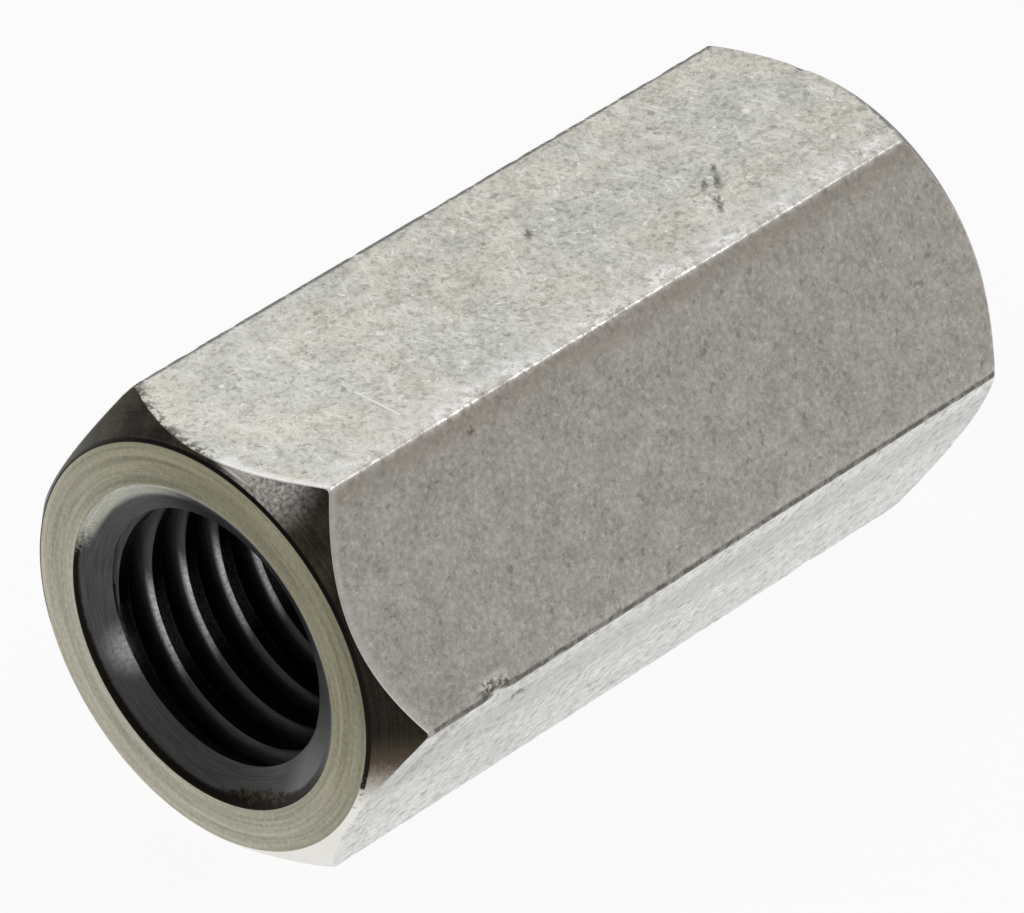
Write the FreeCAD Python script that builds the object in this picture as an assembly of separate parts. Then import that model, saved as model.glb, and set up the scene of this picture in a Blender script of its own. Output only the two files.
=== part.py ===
import FreeCAD, Part
import math
import os

# Coupling nut: one piece of hexagonal bar, bored through for a metric thread.
# The bore lies along X, the nut rests on one flat, and its middle is the origin.
# All lengths are in millimetres and all angles in degrees.

# Thread
thread_diameter = 12.0         # nominal size of the rod that screws in
thread_pitch = 1.75
crest_share = 0.55             # height of the cut crests over that of the sharp thread triangle

# Hexagonal bar
across_flats = 17.0
nut_length = 34.4
long_edge_radius = 0.3         # rounding of the six long edges of the drawn bar

# Turned ends
face_set_in = 0.43             # how much the round end face is smaller than across_flats
near_chamfer_angle = 49.5      # slope of the corner cone against the end face, end at -X
far_chamfer_angle = 44.0       # the same for the end at +X
countersink_allowance = 1.04   # how much the countersink's mouth is wider than the thread
countersink_angle = 120.0      # full angle of the countersink's cone

FLAT_SIDES = 6
THREAD_ANGLE = 60.0


def bore_radius():
    # The bore stands at the thread's crests. A full thread keeps five eighths
    # of the sharp triangle, and a slightly wider bore cuts its crests shorter.
    sharp_height = thread_pitch / 2.0 / math.tan(math.radians(THREAD_ANGLE / 2.0))
    return thread_diameter / 2.0 - crest_share * sharp_height


def hexagonal_bar():
    corner_radius = across_flats / 2.0 / math.cos(math.pi / FLAT_SIDES)
    corners = []
    for side in range(FLAT_SIDES + 1):
        turn = 2.0 * math.pi * side / FLAT_SIDES
        corners.append(FreeCAD.Vector(-nut_length / 2.0,
                                      corner_radius * math.cos(turn),
                                      corner_radius * math.sin(turn)))
    section = Part.Face(Part.makePolygon(corners))
    bar = section.extrude(FreeCAD.Vector(nut_length, 0.0, 0.0))
    long_edges = [edge for edge in bar.Edges
                  if abs(edge.tangentAt(edge.FirstParameter).x) > math.cos(math.pi / FLAT_SIDES)]
    return bar.makeFillet(long_edge_radius, long_edges)


def turned_ring():
    # Half section of everything a lathe gives the bar: end faces, corner
    # cones, countersinks and bore, turned once round the X axis.
    bore = bore_radius()
    face = (across_flats - face_set_in) / 2.0
    mouth = (thread_diameter + countersink_allowance) / 2.0
    countersink_depth = (mouth - bore) / math.tan(math.radians(countersink_angle / 2.0))
    beyond_corners = across_flats / math.sqrt(3.0) + face_set_in
    near_drop = (beyond_corners - face) * math.tan(math.radians(near_chamfer_angle))
    far_drop = (beyond_corners - face) * math.tan(math.radians(far_chamfer_angle))
    half = nut_length / 2.0
    outline = [(-half, mouth),
               (-half, face),
               (-half + near_drop, beyond_corners),
               (half - far_drop, beyond_corners),
               (half, face),
               (half, mouth),
               (half - countersink_depth, bore),
               (-half + countersink_depth, bore),
               (-half, mouth)]
    points = [FreeCAD.Vector(x, 0.0, radius) for x, radius in outline]
    section = Part.Face(Part.makePolygon(points))
    return section.revolve(FreeCAD.Vector(0.0, 0.0, 0.0), FreeCAD.Vector(1.0, 0.0, 0.0), 360.0)


nut = hexagonal_bar().common(turned_ring()).Solids[0]

os.makedirs("parts", exist_ok=True)
nut.exportStep("parts/coupling_nut.step")
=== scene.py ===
import math
import bpy
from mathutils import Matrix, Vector, noise


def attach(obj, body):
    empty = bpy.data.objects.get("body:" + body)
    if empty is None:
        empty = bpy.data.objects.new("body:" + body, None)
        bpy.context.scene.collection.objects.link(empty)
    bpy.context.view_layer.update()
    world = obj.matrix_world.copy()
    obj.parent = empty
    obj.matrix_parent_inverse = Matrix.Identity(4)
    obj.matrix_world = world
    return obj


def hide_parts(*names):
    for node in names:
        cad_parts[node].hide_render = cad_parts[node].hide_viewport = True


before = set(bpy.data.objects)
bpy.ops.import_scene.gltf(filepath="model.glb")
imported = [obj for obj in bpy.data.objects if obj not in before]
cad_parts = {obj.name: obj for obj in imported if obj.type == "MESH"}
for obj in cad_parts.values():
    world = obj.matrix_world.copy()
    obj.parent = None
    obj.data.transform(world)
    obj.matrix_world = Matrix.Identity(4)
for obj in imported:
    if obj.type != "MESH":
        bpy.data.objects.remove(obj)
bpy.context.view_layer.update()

# Sizes of the nut, in millimetres, as in the part. X runs along the bore, the
# near end of the photograph is at -X, and the nut rests on the flat at -Z.
MM = 0.001
LENGTH = 34.4
ACROSS_FLATS = 17.0
EDGE_RADIUS = 0.3
FACE_RADIUS = (ACROSS_FLATS - 0.43) / 2.0
NEAR_SLOPE = math.tan(math.radians(49.5))
FAR_SLOPE = math.tan(math.radians(44.0))
THREAD_RADIUS = 6.0
PITCH = 1.75
BORE_RADIUS = THREAD_RADIUS - 0.55 * PITCH / 2.0 / math.tan(math.radians(30.0))
MOUTH_RADIUS = THREAD_RADIUS + 1.04 / 2.0
CONE_SLOPE = math.tan(math.radians(60.0))
HALF = LENGTH / 2.0
APOTHEM = ACROSS_FLATS / 2.0
SIDE_TURN = math.pi / 3.0
HALF_SIDE = SIDE_TURN / 2.0
FULL_TURN = 2.0 * math.pi

# The thread: a crest stands this far behind the near end face at this angle.
# The crest's land ends and the root begins at these shares of the pitch.
CREST_DEPTH = 0.78
CREST_ANGLE = math.radians(-90.0)
LAND = 0.1628
ROOT = 0.4375
CREST_ROUND = 0.05             # how far each crest's two edges are rounded back
CREST_ROUND_WIDTH = 0.03       # in shares of the pitch
RUN_OUT_START = 0.62           # the groove fades in at this depth behind the end face
RUN_OUT_LENGTH = 0.4
PHASES = (-0.14, 0.14, 0.1628, 0.19, 0.27, 0.35, 0.43, 0.57, 0.65, 0.73, 0.81, 0.8372)

# Roundings of the edges that the lathe left, and how fine the mesh is
RIM_ROUND = 0.05               # end face to chamfer
ARC_ROUND = 0.07               # chamfer to flat
LIP_ROUND = 0.04               # end face to countersink
CURVE_STEPS = 3
CHAMFER_STEPS = 5
SUPPORT = 0.04                 # a row of faces this close to each arc
LENGTH_ROWS = 140
SIDE_COLUMNS = (22, 56, 40, 26, 22, 22)
CORNER_COLUMNS = 6
BORE_COLUMNS = 220
CONE_SHARES = (0.3, 0.6)       # circles on the plain part of the countersink
CUT_CIRCLES = 16               # circles where the thread cuts the countersink
CUT_BEFORE, CUT_BEYOND = 0.02, 0.03    # how far those circles reach past the cut
SHARP_ANGLE = math.radians(32.0)

# Material slots of the one mesh
FLAT, CHAMFER, FACE, BORE = range(4)

# Wear of the long edges: all along, in wide chips and in fine ones
WEAR_RADIUS = 9.58             # it starts at this distance from the axis
WEAR_BAND = 0.15
WEAR, WIDE_CHIPS, FINE_CHIPS = 0.02, 0.05, 0.03
WIDE_PER_MM, FINE_PER_MM = 1.7, 5.1    # how close the chips follow each other

# Knocks on the outside: middle, reach along X, reach across, depth
KNOCKS = (
    ((-11.75, -9.70, 0.15), 1.1, 0.5, 0.14),
    ((-9.95, -9.0, -1.4), 0.8, 0.5, 0.13),
    ((16.7, 1.3, 8.5), 0.5, 0.55, 0.17),
    ((16.52, -2.77, 8.5), 0.33, 0.57, 0.05),
    ((9.17, -1.81, 8.5), 0.33, 0.43, 0.05),
    ((7.74, -2.67, 8.5), 0.29, 0.48, 0.05),
    ((3.82, 9.74, 0.1), 0.76, 0.38, 0.1),
    ((-7.16, 4.97, -8.4), 0.86, 0.38, 0.08),
    ((10.51, -4.97, -8.4), 0.57, 0.38, 0.08),
    ((-16.81, -6.59, -6.02), 0.24, 0.38, 0.05),
    ((16.71, 7.54, -3.63), 0.24, 0.48, 0.08),
)


def smooth(t):
    t = min(max(t, 0.0), 1.0)
    return t * t * (3.0 - 2.0 * t)


def bezier(start, middle, end):
    points = []
    for k in range(CURVE_STEPS + 1):
        t = k / CURVE_STEPS
        points.append(tuple(a * (1 - t) ** 2 + 2 * b * t * (1 - t) + c * t * t
                            for a, b, c in zip(start, middle, end)))
    return points


def hexagon_columns():
    # Angles and radii round the rounded hexagon, corner on +Y first
    reach = (APOTHEM - EDGE_RADIUS) / math.cos(HALF_SIDE)
    flat_half = (APOTHEM - EDGE_RADIUS) * math.tan(HALF_SIDE)
    columns = []
    for side, count in enumerate(SIDE_COLUMNS):
        corner = SIDE_TURN * side
        for k in range(CORNER_COLUMNS):
            swing = HALF_SIDE * (2.0 * k / CORNER_COLUMNS - 1.0)
            y = reach + EDGE_RADIUS * math.cos(swing)
            z = EDGE_RADIUS * math.sin(swing)
            columns.append((corner + math.atan2(z, y), math.hypot(y, z)))
        middle = corner + HALF_SIDE
        for k in range(count):
            across = flat_half * (2.0 * k / count - 1.0)
            columns.append((middle + math.atan2(across, APOTHEM), math.hypot(across, APOTHEM)))
    return columns


def outer_profile(radius):
    # Half section of the outside where the bar has this radius, from the near
    # end face to the far one: a list of (x, r, slot), the slot being that of
    # the strip that follows.
    near_dir = Vector((NEAR_SLOPE, 1.0)).normalized()
    far_dir = Vector((FAR_SLOPE, -1.0)).normalized()
    near_face, far_face = Vector((-HALF, FACE_RADIUS)), Vector((HALF, FACE_RADIUS))
    near_arc = Vector((-HALF + (radius - FACE_RADIUS) * NEAR_SLOPE, radius))
    far_arc = Vector((HALF - (radius - FACE_RADIUS) * FAR_SLOPE, radius))
    out = []

    def add(points, slot):
        out.extend((x, r, slot) for x, r in points)

    begin, end = near_face + near_dir * RIM_ROUND, near_arc - near_dir * ARC_ROUND
    add(bezier((-HALF, FACE_RADIUS - RIM_ROUND), near_face, begin), CHAMFER)
    add([begin.lerp(end, k / CHAMFER_STEPS) for k in range(1, CHAMFER_STEPS)], CHAMFER)
    add(bezier(end, near_arc, (near_arc.x + ARC_ROUND, radius)), FLAT)
    first, last = near_arc.x + ARC_ROUND + SUPPORT, far_arc.x - ARC_ROUND - SUPPORT
    add([(first + (last - first) * k / LENGTH_ROWS, radius) for k in range(LENGTH_ROWS + 1)], FLAT)
    begin, end = far_arc + far_dir * ARC_ROUND, far_face - far_dir * RIM_ROUND
    add(bezier((far_arc.x - ARC_ROUND, radius), far_arc, begin)[:-1], FLAT)
    add([begin.lerp(end, k / CHAMFER_STEPS) for k in range(CHAMFER_STEPS)], CHAMFER)
    add(bezier(end, far_face, (HALF, FACE_RADIUS - RIM_ROUND)), CHAMFER)
    return out


def worn(x, radius, angle):
    # Radius after wear: long edges with small chips, and single knocks
    y, z = radius * math.cos(angle), radius * math.sin(angle)
    loss = 0.0
    sharp = smooth((radius - WEAR_RADIUS) / WEAR_BAND)
    if sharp > 0.0:
        # the edge's number makes each edge's chips its own
        edge = round(angle / SIDE_TURN)
        wide = noise.noise(Vector((x * WIDE_PER_MM, edge * 7.3, 0.0)))
        fine = noise.noise(Vector((x * FINE_PER_MM, edge * 3.1, 4.0)))
        loss += sharp * (WEAR + WIDE_CHIPS * max(wide, 0.0) + FINE_CHIPS * max(fine, 0.0))
    for (knock_x, knock_y, knock_z), along, across, depth in KNOCKS:
        away = math.hypot((x - knock_x) / along, math.hypot(y - knock_y, z - knock_z) / across)
        if away < 1.0:
            ragged = 0.7 + 0.6 * noise.noise(Vector((x, y, z)) * 4.0)
            loss += depth * smooth((1.0 - away) * 1.6) * ragged
    return radius - loss


def thread_radius(x, angle):
    # Radius of the inner wall: thread crest, flank or root, or the countersink's
    # cone where that is wider
    depth = min(x + HALF, HALF - x)
    cone = MOUTH_RADIUS - depth * CONE_SLOPE
    turn = (x + HALF - CREST_DEPTH) / PITCH - (angle - CREST_ANGLE) / FULL_TURN
    away = abs(turn - round(turn))
    rise = min(max((away - LAND) / (ROOT - LAND), 0.0), 1.0)
    rise += smooth(1.0 - abs(away - LAND) / CREST_ROUND_WIDTH) * CREST_ROUND
    groove = (THREAD_RADIUS - BORE_RADIUS) * smooth((depth - RUN_OUT_START) / RUN_OUT_LENGTH)
    return max(cone, BORE_RADIUS + groove * rise)


class Skin:
    # Vertices and faces of the one mesh, which is closed and faces outwards

    def __init__(self):
        self.verts, self.faces, self.slots = [], [], []

    def vert(self, x, radius, angle):
        self.verts.append((x * MM, radius * math.cos(angle) * MM, radius * math.sin(angle) * MM))
        return len(self.verts) - 1

    def face(self, corners, slot):
        # corners that share a vertex count once
        ring = [c for k, c in enumerate(corners) if c != corners[k - 1]]
        if len(ring) > 2:
            self.faces.append(ring)
            self.slots.append(slot)


def add_outside(skin):
    # Flats, long edges and corner chamfers. Returns the rims of the near and the
    # far end face, each a list of (angle, vertex).
    columns = hexagon_columns()
    profiles = [outer_profile(radius) for _, radius in columns]
    marks = [slot for _, _, slot in profiles[0]]
    grid = [[skin.vert(x, worn(x, r, angle), angle) for x, r, _ in profile]
            for (angle, _), profile in zip(columns, profiles)]
    for k in range(len(grid)):
        here, there = grid[k - 1], grid[k]
        for row in range(len(here) - 1):
            skin.face((here[row], there[row], there[row + 1], here[row + 1]), marks[row])
    near = [(angle, column[0]) for (angle, _), column in zip(columns, grid)]
    far = [(angle, column[-1]) for (angle, _), column in zip(columns, grid)]
    return near, far


def countersink_rows():
    # The near countersink's rounded lip as (x, r), then the x of each circle down
    # the cone, close to each other where the thread cuts it
    cone_dir = Vector((1.0, -CONE_SLOPE)).normalized()
    corner = Vector((-HALF, MOUTH_RADIUS))
    lip = bezier((-HALF, MOUTH_RADIUS + LIP_ROUND), corner, corner + cone_dir * LIP_ROUND)
    cut = (MOUTH_RADIUS - THREAD_RADIUS) / CONE_SLOPE - CUT_BEFORE
    foot = (MOUTH_RADIUS - BORE_RADIUS) / CONE_SLOPE + CUT_BEYOND
    depths = [cut * share for share in CONE_SHARES]
    depths += [cut + (foot - cut) * k / CUT_CIRCLES for k in range(CUT_CIRCLES + 1)]
    return lip, [-HALF + depth for depth in depths]


def add_inside(skin):
    # Countersinks and thread, whose rows follow the helix. Returns the mouths as
    # add_outside returns the rims.
    lip, circles = countersink_rows()
    first, last = circles[-1], -circles[-1]
    origin = -HALF + CREST_DEPTH - PITCH * CREST_ANGLE / FULL_TURN
    turns = range(-4, int(LENGTH / PITCH) + 3)
    bases = [origin + PITCH * (turn + phase) for turn in turns for phase in PHASES]
    columns = []
    for k in range(BORE_COLUMNS):
        angle = FULL_TURN * k / BORE_COLUMNS
        near = [skin.vert(x, r, angle) for x, r in lip]
        near += [skin.vert(x, thread_radius(x, angle), angle) for x in circles]
        far = [skin.vert(-x, thread_radius(-x, angle), angle) for x in reversed(circles)]
        far += [skin.vert(-x, r, angle) for x, r in reversed(lip)]
        helix = []
        for base in bases:
            x = base + PITCH * k / BORE_COLUMNS
            if x <= first + 1e-4:
                helix.append(near[-1])
            elif x >= last - 1e-4:
                helix.append(far[0])
            else:
                helix.append(skin.vert(x, thread_radius(x, angle), angle))
        columns.append((near, helix, far))
    # the last column meets the first one pitch further on
    near, helix, far = columns[0]
    helix = helix[len(PHASES):] + [far[0]] * len(PHASES)
    for here, there in zip(columns, columns[1:] + [(near, helix, far)]):
        for one, two in zip(here, there):
            for row in range(len(one) - 1):
                skin.face((one[row + 1], two[row + 1], two[row], one[row]), BORE)
    angles = [FULL_TURN * k / BORE_COLUMNS for k in range(BORE_COLUMNS)]
    near_mouth = [(angle, near[0]) for angle, (near, _, _) in zip(angles, columns)]
    far_mouth = [(angle, far[-1]) for angle, (_, _, far) in zip(angles, columns)]
    return near_mouth, far_mouth


def add_end_face(skin, rim, mouth, flip):
    # Rim and mouth have unlike angles, so triangles go round both step by step
    i = j = 0
    rim = sorted((angle % FULL_TURN, v) for angle, v in rim)
    mouth = sorted((angle % FULL_TURN, v) for angle, v in mouth)
    m, n = len(rim), len(mouth)
    while i < m or j < n:
        next_out = rim[(i + 1) % m][0] + (FULL_TURN if i + 1 >= m else 0.0)
        next_in = mouth[(j + 1) % n][0] + (FULL_TURN if j + 1 >= n else 0.0)
        if j >= n or (i < m and next_out <= next_in):
            corners = (rim[i % m][1], rim[(i + 1) % m][1], mouth[j % n][1])
            i += 1
        else:
            corners = (rim[i % m][1], mouth[(j + 1) % n][1], mouth[j % n][1])
            j += 1
        skin.face(corners[::-1] if flip else corners, FACE)


def build_nut():
    skin = Skin()
    near_rim, far_rim = add_outside(skin)
    near_mouth, far_mouth = add_inside(skin)
    add_end_face(skin, near_rim, near_mouth, True)
    add_end_face(skin, far_rim, far_mouth, False)
    mesh = bpy.data.meshes.new("nut")
    mesh.from_pydata(skin.verts, [], skin.faces)
    mesh.validate()
    mesh.polygons.foreach_set("material_index", skin.slots)
    mesh.polygons.foreach_set("use_smooth", [slot != FACE for slot in skin.slots])
    mesh.set_sharp_from_angle(angle=SHARP_ANGLE)
    mesh.update()
    nut = bpy.data.objects.new("nut", mesh)
    bpy.context.scene.collection.objects.link(nut)
    return nut


def sideways(degrees):
    # Direction square to the bore, turned from +Y towards +Z
    return (0.0, math.cos(math.radians(degrees)), math.sin(math.radians(degrees)))


class Paint:
    # One material, with short spellings for its nodes. Places and sizes are in
    # millimetres. A mask is a number from 0 to 1 at every place.

    def __init__(self, name):
        self.material = bpy.data.materials.new(name)
        self.material.use_nodes = True
        self.tree = self.material.node_tree
        self.shader = self.tree.nodes["Principled BSDF"]
        coordinates = self.node("ShaderNodeTexCoord").outputs["Object"]
        self.place = self.vector("SCALE", coordinates, scale=1.0 / MM)
        self.x, self.y, self.z = self.node("ShaderNodeSeparateXYZ", {0: self.place}).outputs
        self.radius = self.math("SQRT", self.total(self.times(self.y, self.y),
                                                   self.times(self.z, self.z)))
        self.colour = None

    def node(self, kind, inputs=None, **settings):
        made = self.tree.nodes.new(kind)
        for name, value in settings.items():
            setattr(made, name, value)
        for key, value in (inputs or {}).items():
            self.put(made.inputs[key], value)
        return made

    def put(self, socket, value):
        if isinstance(value, bpy.types.NodeSocket):
            self.tree.links.new(value, socket)
        elif isinstance(value, tuple) and len(value) == 3 and socket.type == "RGBA":
            socket.default_value = (*value, 1.0)
        else:
            socket.default_value = value

    def math(self, operation, *values):
        made = self.node("ShaderNodeMath", operation=operation)
        for socket, value in zip(made.inputs, values):
            self.put(socket, value)
        return made.outputs[0]

    def chain(self, operation, values):
        out = values[0]
        for value in values[1:]:
            out = self.math(operation, out, value)
        return out

    def total(self, *values):
        return self.chain("ADD", values)

    def less(self, value, loss):
        return self.math("SUBTRACT", value, loss)

    def times(self, *values):
        # also what several masks have in common
        return self.chain("MULTIPLY", values)

    def either(self, *masks):
        return self.chain("MAXIMUM", masks)

    def vector(self, operation, first, second=None, scale=None):
        made = self.node("ShaderNodeVectorMath", operation=operation)
        self.put(made.inputs[0], first)
        if second is not None:
            self.put(made.inputs[1], second)
        if scale is not None:
            self.put(made.inputs["Scale"], scale)
        number = operation in ("DISTANCE", "DOT_PRODUCT")
        return made.outputs["Value" if number else "Vector"]

    def towards(self, direction, place=None):
        # how far a place lies in a direction
        return self.vector("DOT_PRODUCT", place or self.place, direction)

    def step(self, value, low, high):
        # 0 at low and below, 1 at high and above, or the other way round
        made = self.node("ShaderNodeMapRange",
                         {"Value": value, "From Min": low, "From Max": high},
                         interpolation_type="SMOOTHSTEP")
        return made.outputs["Result"]

    def scale(self, value, low, high):
        made = self.node("ShaderNodeMapRange", {"Value": value, "To Min": low, "To Max": high})
        return made.outputs["Result"]

    def noise(self, size, detail=2.0, roughness=0.5, place=None):
        # size: how many millimetres one grain takes
        made = self.node("ShaderNodeTexNoise", {
            "Vector": place or self.place, "Scale": 1.0 / size,
            "Detail": detail, "Roughness": roughness})
        return made.outputs["Fac"]

    def turned_noise(self, size, detail, roughness, per_radian, lean):
        # Noise that follows the lathe: fine across the marks, long along them.
        # lean is 1 where the surface widens towards the ends, -1 where it narrows.
        around = [self.times(self.math("DIVIDE", side, self.radius), per_radian)
                  for side in (self.y, self.z)]
        outwards = self.times(self.math("ABSOLUTE", self.x), lean)
        place = self.node("ShaderNodeCombineXYZ", {
            0: around[0], 1: around[1], 2: self.total(self.radius, outwards)})
        return self.noise(size, detail, roughness, place.outputs[0])

    def blob(self, middle, reach, soft, place=None):
        # 1 within a soft ball round a place, 0 outside
        away = self.vector("DISTANCE", place or self.place, middle)
        return self.step(away, reach, reach * (1.0 - soft))

    def mix(self, factor, first, second, blend="MIX"):
        made = self.node("ShaderNodeMix", data_type="RGBA", blend_type=blend)
        self.put(made.inputs["Factor"], factor)
        self.put(made.inputs[6], first)
        self.put(made.inputs[7], second)
        return made.outputs[2]

    def cover(self, colour, *masks):
        # lays a colour where all the masks meet
        self.colour = self.mix(self.times(*masks), self.colour, colour)

    def shade(self, light):
        self.colour = self.mix(1.0, self.colour, light, "MULTIPLY")

    def finish(self, roughness, height):
        # height of the fine relief in millimetres
        bump = self.node("ShaderNodeBump", {"Strength": 1.0, "Distance": MM, "Height": height})
        for name, value in (("Base Color", self.colour), ("Roughness", roughness),
                            ("Metallic", 1.0), ("Normal", bump.outputs["Normal"])):
            self.put(self.shader.inputs[name], value)
        return self.material


# Marks seen on the flats. Flecks, pits and nicks: place, reach
FLECKS = (
    ((1.73, -2.71, 8.5), 0.21), ((2.74, 1.02, 8.5), 0.19), ((-6.31, -3.02, 8.5), 0.21),
    ((-7.1, 0.58, 8.5), 0.21), ((13.22, 0.71, 8.5), 0.23), ((14.15, -2.85, 8.5), 0.21),
    ((8.8, -1.28, 8.5), 0.14), ((8.07, -2.67, 8.5), 0.12), ((7.73, -2.24, 8.5), 0.165),
)
PITS = (
    ((9.4, -1.05, 8.5), 0.19), ((8.85, -1.75, 8.5), 0.29), ((8.32, -1.53, 8.5), 0.22),
    ((7.95, -2.5, 8.5), 0.21), ((7.6, -2.98, 8.5), 0.24), ((1.44, 1.04, 8.5), 0.22),
    ((-8.6, -5.38, 7.68), 0.22),
)
PIT_RUN = Vector((0.68, 0.73, 0.0))    # the pits are drawn out this way
PIT_SQUEEZE = -0.65
NICKS = (((-6.1, -9.66, 0.3), 0.4), ((-5.75, -9.7, 0.22), 0.35), ((-5.0, -8.95, -1.5), 0.4))
NICK_SQUEEZE = (0.5, 1.0, 1.0)         # NICKS are given with X halved
FRONT_NORMAL = sideways(150.0)
LOWER_NORMAL = sideways(210.0)
FLAT_SEEN = (8.3, 8.45)                # a flat's mask rises between these
FINE_SCRATCHES = ((0.35, 0.655), (-0.5, 0.67))     # turn from X, rarity
SCRATCH_START = Vector((-10.43, -1.38, 8.5))
SCRATCH_END = Vector((-10.37, -3.51, 8.5))
SCRATCH_WIDTH = 0.07
TOP_ARC_HIGHLIGHT_END = (-16.7, -1.15, 8.5)             # bright end of the painted highlight on the near arc

# Colours of the bar
TOP_WARM = (0.688, 0.660, 0.590)       # clouds on the flats
TOP_GREY = (0.646, 0.644, 0.592)
# the front flat's colours are darker, as painted shade, and the lower flat's brighter, as a
# painted reflection of the floor
FRONT_SHADED_WARM = (0.578, 0.542, 0.496)
FRONT_SHADED_GREY = (0.562, 0.544, 0.492)
LOWER_LIT_DULL = (0.62, 0.61, 0.59)
LOWER_LIT_BRIGHT = (0.765, 0.765, 0.745)
DARK_SPECK = (0.20, 0.18, 0.16)
PIT = (0.085, 0.08, 0.07)
NICK = (0.08, 0.07, 0.055)
BROWN_CAST = (0.44, 0.36, 0.28)        # below the top front edge
LOWER_EDGE_SHADE = (0.075, 0.062, 0.045)
LOWER_BAND = (0.44, 0.435, 0.42)       # below the lower front edge
# a painted sheen
PALE_SHEEN = (0.74, 0.74, 0.72)         # beside the top front edge
BACK_EDGE_SHADE = (0.13, 0.13, 0.125)
ARC_DIRT = (0.10, 0.09, 0.075)         # on the arcs where the chamfers end
FRONT_ARC_HIGHLIGHT = (0.80, 0.78, 0.74)
ARC_SPECKS = (0.20, 0.19, 0.17)
FAR_ARC = (0.11, 0.11, 0.105)
RUBBED_AND_HIGHLIGHT = (0.98, 0.96, 0.93)            # everything that is rubbed bright, and the painted highlights


class BarSteel(Paint):
    # Drawn bar: fine matt grain, faint colour clouds, bright flecks and worn edges, with painted
    # highlights and painted shade along the edges and arcs. One mask holds everything that is
    # rubbed bright and every painted highlight.

    def __init__(self):
        super().__init__("drawn_bar")
        self.clouds = self.noise(3.2)
        self.tone = self.noise(1.1, 3.0, 0.6)
        self.grain = self.noise(0.24, 3.0, 0.7)
        self.fine = self.noise(0.10, 1.0)
        self.dots = self.noise(0.38)
        self.broken = self.step(self.dots, 0.42, 0.54)
        wander = self.node("ShaderNodeTexNoise",
                           {"Vector": self.place, "Scale": 6.0, "Detail": 1.0})
        wander = self.vector("SUBTRACT", wander.outputs["Color"], (0.5, 0.5, 0.5))
        self.ragged = self.vector("ADD", self.place, self.vector("SCALE", wander, scale=0.35))
        self.top = self.step(self.z, *FLAT_SEEN)
        self.front = self.step(self.towards(FRONT_NORMAL), *FLAT_SEEN)
        self.lower = self.step(self.towards(LOWER_NORMAL), *FLAT_SEEN)

    def brighten(self, *masks):
        self.shiny_and_highlit = self.either(self.shiny_and_highlit, self.times(*masks))

    def ground(self):
        cloudy = self.step(self.clouds, 0.40, 0.60)
        self.colour = self.mix(cloudy, TOP_WARM, TOP_GREY)
        # painted shade on the front flat and a painted reflection of the floor on the lower flat
        self.cover(self.mix(cloudy, FRONT_SHADED_WARM, FRONT_SHADED_GREY), self.front)
        spotted = self.step(self.dots, 0.36, 0.55)
        self.cover(self.mix(spotted, LOWER_LIT_DULL, LOWER_LIT_BRIGHT), self.lower)
        self.shade(self.total(
            self.scale(self.grain, 0.45, 1.55), self.scale(self.tone, -0.3, 0.3),
            self.scale(self.fine, -0.2, 0.2),
            self.times(self.top, self.step(self.x, -3.0, -14.0), 0.12),
            self.times(self.top, self.scale(self.grain, -0.3, 0.3))))

    def specks(self):
        # dark specks all over and bright flecks; the flecks are partly painted glints, so most of
        # them sit on the top flat, where the light falls
        self.cover(DARK_SPECK, self.step(self.dots, 0.36, 0.30), 0.4)
        self.flecks = self.either(self.step(self.dots, 0.645, 0.70),
                                  self.step(self.grain, 0.61, 0.68))
        self.shiny_and_highlit = self.times(self.flecks, self.scale(self.top, 0.08, 0.75))

    def scratches(self):
        # short fine scratches, crossing each other, and the one long scratch
        for turn, rarity in FINE_SCRATCHES:
            across = (math.cos(turn), math.sin(turn), 0.0)
            along = (-math.sin(turn), math.cos(turn), 0.0)
            laid = self.node("ShaderNodeCombineXYZ", {
                0: self.towards(across), 1: self.times(self.towards(along), 0.14), 2: turn})
            lines = self.noise(0.15, 0.0, place=laid.outputs[0])
            self.brighten(self.step(lines, rarity, rarity + 0.05), self.top,
                          self.step(self.tone, 0.44, 0.58), 0.5)
        line = SCRATCH_END - SCRATCH_START
        along = tuple(line.normalized())
        offset = self.vector("SUBTRACT", self.place, tuple(SCRATCH_START))
        run = self.math("MAXIMUM", self.towards(along, offset), 0.0)
        run = self.math("MINIMUM", run, line.length)
        away = self.vector("DISTANCE", offset, self.vector("SCALE", along, scale=run))
        self.brighten(self.step(away, SCRATCH_WIDTH, SCRATCH_WIDTH * 0.4))

    def marks(self):
        # the flecks, pits and nicks that the photograph shows one by one
        self.brighten(self.either(*[self.blob(middle, reach, 0.7, self.ragged)
                                    for middle, reach in FLECKS]))
        along = tuple(PIT_RUN)
        run = self.times(self.towards(along, self.ragged), PIT_SQUEEZE)
        squeezed = self.vector("ADD", self.ragged, self.vector("SCALE", along, scale=run))
        pits = []
        for middle, reach in PITS:
            middle = Vector(middle)
            middle += PIT_SQUEEZE * middle.dot(PIT_RUN) * PIT_RUN
            pits.append(self.blob(tuple(middle), reach, 1.0, squeezed))
        self.cover(PIT, self.either(*pits), 0.9)
        short = self.vector("MULTIPLY", self.ragged, NICK_SQUEEZE)
        nicks = self.either(*[self.blob(middle, reach, 0.8, short) for middle, reach in NICKS])
        self.cover(NICK, nicks, self.step(self.grain, 0.58, 0.44))

    def long_edges(self):
        # top front edge: a broken painted highlight along its crest, a brown cast below it
        self.brighten(self.step(self.radius, 9.64, 9.73), self.broken,
                      self.step(self.z, 2.0, 6.0), self.step(self.y, 0.0, -2.0), 0.42)
        self.cover(BROWN_CAST, self.front, self.step(self.radius, 9.15, 9.60),
                   self.step(self.z, 4.0, 6.5),
                   self.scale(self.step(self.tone, 0.35, 0.6), 0.3, 1.0), 0.55)
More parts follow.
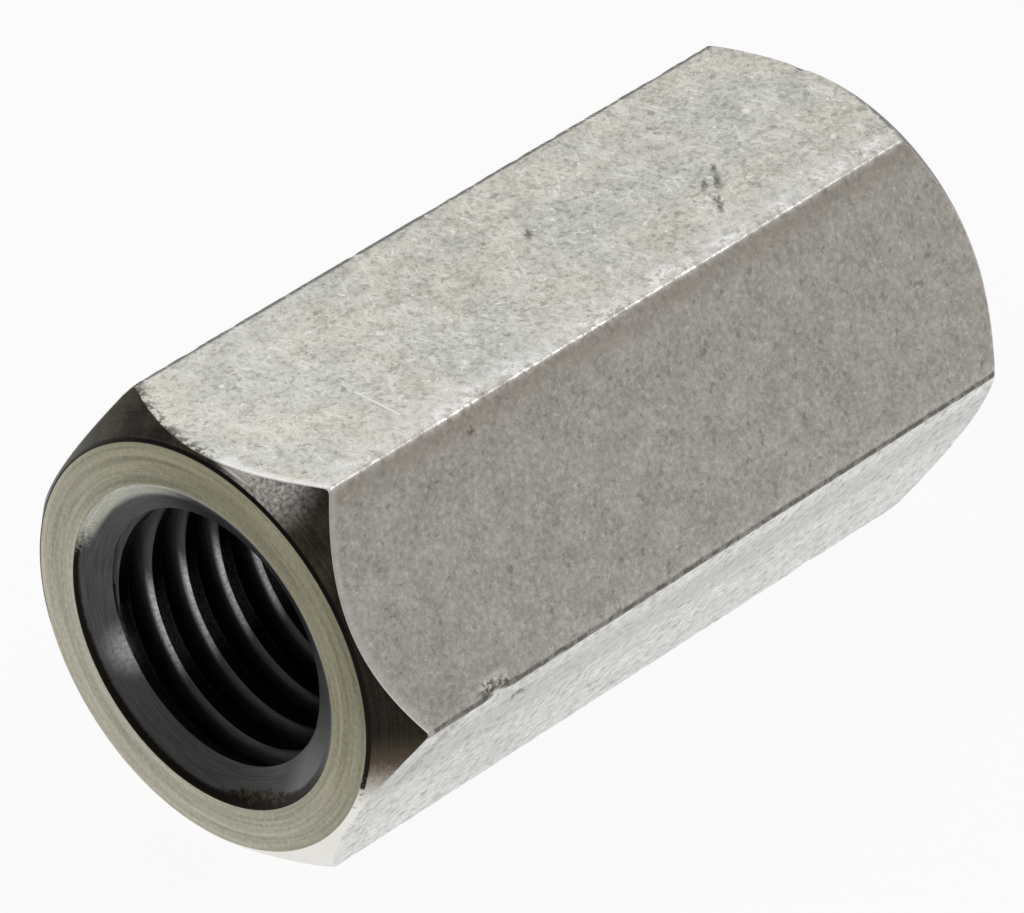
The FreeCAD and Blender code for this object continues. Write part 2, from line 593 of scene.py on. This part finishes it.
        # lower front edge: a dark line of painted shade, and a darker band below it
        self.cover(LOWER_EDGE_SHADE, self.step(self.radius, 9.60, 9.68),
                   self.step(self.z, 0.19, 0.07), self.step(self.z, -0.18, -0.08),
                   self.step(self.y, 0.0, -1.0), self.scale(self.broken, 0.75, 1.0), 0.9)
        self.cover(LOWER_BAND, self.lower, self.step(self.z, -0.8, -1.8),
                   self.step(self.z, -4.2, -2.9),
                   self.scale(self.step(self.tone, 0.35, 0.6), 0.5, 1.0), 0.45)
        # the top flat is paler beside its front edge, a painted sheen, with more bright specks
        # there as painted glints
        pale = self.times(self.top, self.step(self.radius, 8.9, 9.55),
                          self.step(self.y, -1.0, -3.0))
        self.cover(PALE_SHEEN, pale, self.step(self.tone, 0.35, 0.6), 0.5)
        self.brighten(pale, self.step(self.dots, 0.58, 0.66), 0.6)
        clumps = self.scale(self.step(self.noise(1.3, 1.0), 0.46, 0.58), 0.3, 1.0)
        self.brighten(pale, self.step(self.radius, 9.2, 9.6), self.step(self.dots, 0.42, 0.52),
                      clumps, self.step(self.grain, 0.40, 0.52), 1.2)
        # top back edge: a thin dark line of painted shade
        self.cover(BACK_EDGE_SHADE, self.step(self.radius, 9.66, 9.72),
                   self.step(self.z, 8.38, 8.44), self.step(self.y, 0.0, 2.0), 0.85)

    def arcs(self):
        # the arcs in which the chamfers end; rise is how far a place stands
        # out beyond the end faces' rim
        rise = self.less(self.radius, FACE_RADIUS)
        past = self.less(self.x, self.total(-HALF, self.times(rise, NEAR_SLOPE)))
        past = self.total(past, self.scale(self.grain, -0.08, 0.08))
        # near arc of the top flat: a painted highlight in front, ragged and dark behind
        self.brighten(self.step(past, 0.32, 0.20), self.top, self.step(self.y, -0.5, -1.0),
                      self.scale(self.broken, 0.7, 1.0))
        self.brighten(self.blob(TOP_ARC_HIGHLIGHT_END, 0.5, 0.5, self.ragged))
        self.cover(ARC_DIRT, self.step(past, 0.5, 0.0), self.top,
                   self.step(self.y, -0.9, 0.2), self.step(self.grain, 0.60, 0.46), 0.8)
        # near arc of the front flat: a pale line, a painted highlight
        self.cover(FRONT_ARC_HIGHLIGHT, self.step(past, 0.42, 0.1), self.front, 0.45)
        # lower flat: a band of dark specks along its near arc
        self.cover(ARC_SPECKS, self.step(past, 1.1, 1.5), self.step(past, 2.3, 1.9),
                   self.step(self.z, -3.6, -2.4), self.lower,
                   self.step(self.grain, 0.44, 0.56), 0.7)
        # far arc of the top flat: a thin dark line
        short = self.less(self.less(HALF, self.times(rise, FAR_SLOPE)), self.x)
        self.cover(FAR_ARC, self.step(short, 0.22, 0.05), self.top,
                   self.step(self.y, -0.5, -2.5), 0.75)

    def whole(self):
        self.ground()
        self.specks()
        self.scratches()
        self.marks()
        self.long_edges()
        self.arcs()
        # rubbed places and painted highlights alike
        self.cover(RUBBED_AND_HIGHLIGHT, self.shiny_and_highlit, 0.85)
        roughness = self.less(self.scale(self.tone, 0.34, 0.46), self.times(self.shiny_and_highlit, 0.12))
        height = self.total(self.scale(self.grain, 0.0, 0.010), self.scale(self.fine, 0.0, 0.003),
                            self.times(self.flecks, self.scale(self.top, 0.2, 1.0), 0.012))
        return self.finish(roughness, height)


# Colours of the corner chamfers
# the chamfers' dark colours are painted shade, darker still towards the corner on -Y
CHAMFER_SHADE_DARK = (0.040, 0.036, 0.028)     # painted shade
CHAMFER_SHADE_LIGHT = (0.070, 0.060, 0.042)
CHAMFER_SHADE_FRONT = (0.022, 0.020, 0.015)    # towards the corner on -Y
CORNER_BROWN = (0.17, 0.125, 0.085)
CORNER_FLOOR_GLEAM = (0.88, 0.86, 0.81)
CORNER_LIGHT_TRIANGLE = (0.86, 0.83, 0.77)
CHAMFER_RIM_SHADE = (0.012, 0.011, 0.009)      # beside the end face


def corner_steel():
    # Corner chamfers: painted dark as painted shade, then brown, and light low down as a painted
    # reflection of the floor
    paint = Paint("corner_chamfer")
    rings = paint.turned_noise(0.10, 2.0, 0.5, 0.25, -1.0)
    grain = paint.noise(0.16, 3.0, 0.6)
    tone = paint.noise(1.4)
    paint.colour = paint.mix(paint.step(tone, 0.40, 0.60), CHAMFER_SHADE_DARK, CHAMFER_SHADE_LIGHT)
    paint.cover(CHAMFER_SHADE_FRONT, paint.step(paint.y, -5.6, -7.4))
    paint.shade(paint.total(paint.scale(rings, 0.4, 1.6), paint.scale(grain, -0.6, 0.6)))
    # lower down the chamfers turn brown, and lower still light as a painted reflection of the
    # floor
    level = paint.total(paint.z, paint.scale(grain, -0.5, 0.5))
    paint.cover(CORNER_BROWN, paint.step(level, 0.4, -2.4), 0.9)
    paint.cover(CORNER_FLOOR_GLEAM, paint.step(level, -1.0, -3.7))
    # light triangle below the near arc of the top flat
    wide = paint.times(paint.blob((-16.5, -2.8, 8.3), 2.3, 0.8), paint.scale(grain, -0.5, 1.6))
    core = paint.times(paint.blob((-16.8, -1.8, 8.4), 1.3, 0.8), paint.step(rings, 0.25, 0.65))
    paint.cover(CORNER_LIGHT_TRIANGLE, paint.either(wide, core))
    # black line of painted shade beside the end face's rim, breaking up into dots low down
    inset = paint.less(paint.radius, FACE_RADIUS)
    width = paint.scale(paint.step(paint.z, 8.0, 1.0), 0.09, 0.10)
    level = paint.total(paint.z, paint.scale(grain, -2.5, 2.5))
    paint.cover(CHAMFER_RIM_SHADE, paint.step(paint.math("DIVIDE", inset, width), 1.1, 0.8),
                paint.step(level, -2.8, -2.0))
    height = paint.total(paint.scale(rings, 0.0, 0.006), paint.scale(grain, 0.0, 0.006))
    return paint.finish(paint.scale(tone, 0.34, 0.46), height)


# Colours of the end faces
FACE_SHADED = (0.232, 0.218, 0.150)      # olive, painted paler low down where the light falls
FACE_LIT = (0.41, 0.392, 0.318)
FACE_EDGE_SHADE = (0.08, 0.075, 0.055)


def face_steel():
    # End faces: turned, olive grey, painted paler on the side where the light falls, with fine
    # rings round the bore
    paint = Paint("turned_face")
    rings = paint.turned_noise(0.13, 3.0, 0.6, 0.2, -1.0)
    wide = paint.turned_noise(0.5, 1.0, 0.5, 0.35, -1.0)
    grain = paint.noise(0.2, 3.0, 0.6)
    lit = paint.step(paint.towards(sideways(-55.0)), -7.5, 6.0)
    paint.colour = paint.mix(lit, FACE_SHADED, FACE_LIT)
    paint.shade(paint.total(paint.scale(rings, 0.45, 1.55), paint.scale(grain, -0.4, 0.4),
                            paint.scale(wide, -0.4, 0.4)))
    # a dark ring of painted shade round the end face's outer edge
    paint.cover(FACE_EDGE_SHADE, paint.step(paint.radius, 8.18, 8.27), 0.35)
    height = paint.total(paint.scale(rings, 0.0, 0.004), paint.scale(grain, 0.0, 0.003))
    return paint.finish(paint.scale(grain, 0.36, 0.46), height)


# Colours of the countersinks and the thread
# the dark of the thread is painted shade
BORE_SHADED = (0.066, 0.066, 0.067)
BORE_LIT = (0.78, 0.78, 0.78)          # light caught by crests and cone
# painted light and shade on the cone, and a painted highlight on its lip
CONE_LIT_GREY = (0.15, 0.15, 0.145)
CONE_SHADE = (0.016, 0.016, 0.016)
LIP_HIGHLIGHT = (0.33, 0.33, 0.31)
MOUTH_BLACK = (0.010, 0.008, 0.006)
MOUTH_BROWN = (0.055, 0.038, 0.018)
# a painted highlight
MOUTH_HIGHLIGHT = (0.42, 0.42, 0.36)       # bright patch high in the near mouth


def bore_steel():
    # Countersinks and thread: painted dark as painted shade, with turning marks on the cone
    paint = Paint("bore")
    rings = paint.turned_noise(0.07, 2.0, 0.5, 0.3, 1.0)
    grain = paint.noise(0.12, 3.0, 0.6)
    depth = paint.less(HALF, paint.math("ABSOLUTE", paint.x))
    surface = paint.less(MOUTH_RADIUS, paint.times(depth, CONE_SLOPE))
    cone = paint.step(paint.less(paint.radius, surface), 0.05, 0.02)
    crest = paint.step(paint.radius, 5.44, 5.19)
    near = paint.step(paint.x, 1.0, -1.0)
    paint.colour = BORE_SHADED
    paint.shade(paint.scale(rings, 0.4, 1.6))
    # painted shade: the flanks of the thread are darker than the cone and the crests
    paint.shade(paint.scale(paint.either(cone, crest), 0.6, 1.0))
    # light on one side of the crests and of the near cone's inner end
    streak = paint.times(paint.step(paint.towards(sideways(-29.5)), 4.75, 5.25),
                         crest, paint.step(depth, 1.1, 1.6))
    glow = paint.times(paint.blob((-16.35, 4.5, -2.65), 1.4, 1.0), 0.5)
    paint.cover(BORE_LIT, paint.either(streak, glow), paint.step(grain, 0.0, 0.8))
    # painted light: the other side of the cone is grey
    paint.cover(CONE_LIT_GREY, paint.step(paint.towards(sideways(188.6)), 4.2, 5.3), cone, 0.8)
    # higher up on that side the cone carries painted shade, with a painted highlight, a pale line,
    # along its mouth
    inward = paint.less(MOUTH_RADIUS, paint.radius)
    high = paint.times(paint.step(paint.towards(sideways(113.6)), 3.6, 5.2), cone)
    paint.cover(CONE_SHADE, high, paint.step(inward, 0.25, 0.6))
    paint.cover(LIP_HIGHLIGHT, high, paint.step(inward, 0.24, 0.10), 0.8)
    # black edge of the mouth, wider, more ragged and partly brown at its bottom
    bottom = paint.times(paint.step(paint.z, -4.0, -5.2), paint.step(paint.y, -0.2, -1.8), near)
    ragged = paint.times(bottom, paint.scale(paint.noise(0.4, 1.0), -0.45, 0.45))
    inward = paint.total(inward, ragged, paint.scale(grain, -0.08, 0.08))
    lowness = paint.step(paint.z, 3.0, -6.0)
    reach = paint.total(paint.scale(lowness, 0.16, 0.34), paint.times(bottom, 0.26))
    brown = paint.times(bottom, paint.step(grain, 0.42, 0.6), paint.step(inward, 0.16, 0.34))
    paint.cover(paint.mix(brown, MOUTH_BLACK, MOUTH_BROWN),
                paint.step(paint.math("DIVIDE", inward, reach), 1.1, 0.6),
                paint.step(paint.towards(sideways(-60.0)), -3.0, 0.5))
    # painted highlight: a bright patch high in the near mouth
    turned = paint.total(paint.towards(sideways(50.0)), paint.scale(grain, -0.5, 0.5))
    streaks = paint.total(paint.scale(grain, 0.6, 1.4), paint.scale(rings, -0.5, 0.5))
    paint.cover(paint.mix(1.0, MOUTH_HIGHLIGHT, streaks, "MULTIPLY"),
                paint.step(turned, 4.9, 5.9), paint.step(inward, 0.62, 0.34), cone, near)
    height = paint.total(paint.scale(rings, 0.0, 0.005), paint.scale(grain, 0.0, 0.004))
    return paint.finish(paint.scale(grain, 0.28, 0.42), height)


nut = build_nut()
for material in (BarSteel().whole(), corner_steel(), face_steel(), bore_steel()):
    nut.data.materials.append(material)
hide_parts("coupling_nut")
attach(nut, "root")

# Floor and background
FLOOR_HALF = 3.0
FLOOR_LEVEL = -(APOTHEM + 0.01) * MM   # a hair below the nut, so they share no plane
FLOOR_SHARE = 0.92                     # how much of the floor is seen as plain white
FLOOR_PALE = (0.9, 0.9, 0.9, 1.0)
FLOOR_ROUGHNESS = 0.9
STUDIO_GREY = (0.5, 0.5, 0.5, 1.0)


def floor_paint():
    # Pale and matt, and near white to the camera and in the metal
    material = bpy.data.materials.new("floor")
    material.use_nodes = True
    tree = material.node_tree
    matt = tree.nodes["Principled BSDF"]
    matt.inputs["Base Color"].default_value = FLOOR_PALE
    matt.inputs["Roughness"].default_value = FLOOR_ROUGHNESS
    white = tree.nodes.new("ShaderNodeEmission")
    rays = tree.nodes.new("ShaderNodeLightPath")
    seen = rays.outputs["Is Camera Ray"]
    for ray in ("Is Glossy Ray", "Is Transmission Ray"):
        either = tree.nodes.new("ShaderNodeMath")
        either.operation = "MAXIMUM"
        tree.links.new(seen, either.inputs[0])
        tree.links.new(rays.outputs[ray], either.inputs[1])
        seen = either.outputs[0]
    share = tree.nodes.new("ShaderNodeMath")
    share.operation = "MULTIPLY"
    share.inputs[1].default_value = FLOOR_SHARE
    tree.links.new(seen, share.inputs[0])
    blend = tree.nodes.new("ShaderNodeMixShader")
    tree.links.new(share.outputs[0], blend.inputs[0])
    tree.links.new(matt.outputs[0], blend.inputs[1])
    tree.links.new(white.outputs[0], blend.inputs[2])
    tree.links.new(blend.outputs[0], tree.nodes["Material Output"].inputs["Surface"])
    return material


def build_floor():
    mesh = bpy.data.meshes.new("floor")
    corners = [(FLOOR_HALF * across, FLOOR_HALF * along, FLOOR_LEVEL)
               for across, along in ((-1, -1), (1, -1), (1, 1), (-1, 1))]
    mesh.from_pydata(corners, [], [(0, 1, 2, 3)])
    mesh.materials.append(floor_paint())
    floor = bpy.data.objects.new("floor", mesh)
    bpy.context.scene.collection.objects.link(floor)
    return floor


def studio():
    world = bpy.data.worlds.new("studio")
    bpy.context.scene.world = world
    world.use_nodes = True
    world.node_tree.nodes["Background"].inputs["Color"].default_value = STUDIO_GREY


def softbox(name, direction, distance, side, power):
    # metres and watts; the lamp looks at the nut
    lamp = bpy.data.lights.new(name, "AREA")
    lamp.shape = "SQUARE"
    lamp.size = side
    lamp.energy = power
    box = bpy.data.objects.new(name, lamp)
    box.location = Vector(direction).normalized() * distance
    box.rotation_euler = Vector(direction).to_track_quat("Z", "Y").to_euler()
    bpy.context.scene.collection.objects.link(box)


floor = build_floor()
studio()
softbox("key", (0.60, 0.56, 0.57), 1.0, 0.9, 0.78)
softbox("top", (0.12, 0.33, 0.93), 1.2, 0.9, 0.9)
softbox("edge", (0.60, -0.22, 0.77), 1.0, 0.3, 0.6)

# Camera: place, turn and lens fitted to the photograph
CAMERA_PLACE = (-0.21794124, -0.20057038, 0.20536871)
CAMERA_TURN = (0.963831748, -0.000438940876, -0.825263483)
camera_data = bpy.data.cameras.new("camera")
camera_data.sensor_width = 36.0
camera_data.lens = 339.1144
camera_data.clip_start = 0.01
camera = bpy.data.objects.new("camera", camera_data)
camera.location = CAMERA_PLACE
camera.rotation_euler = CAMERA_TURN
bpy.context.scene.collection.objects.link(camera)
bpy.context.scene.camera = camera
bpy.context.scene.view_settings.view_transform = "Standard"
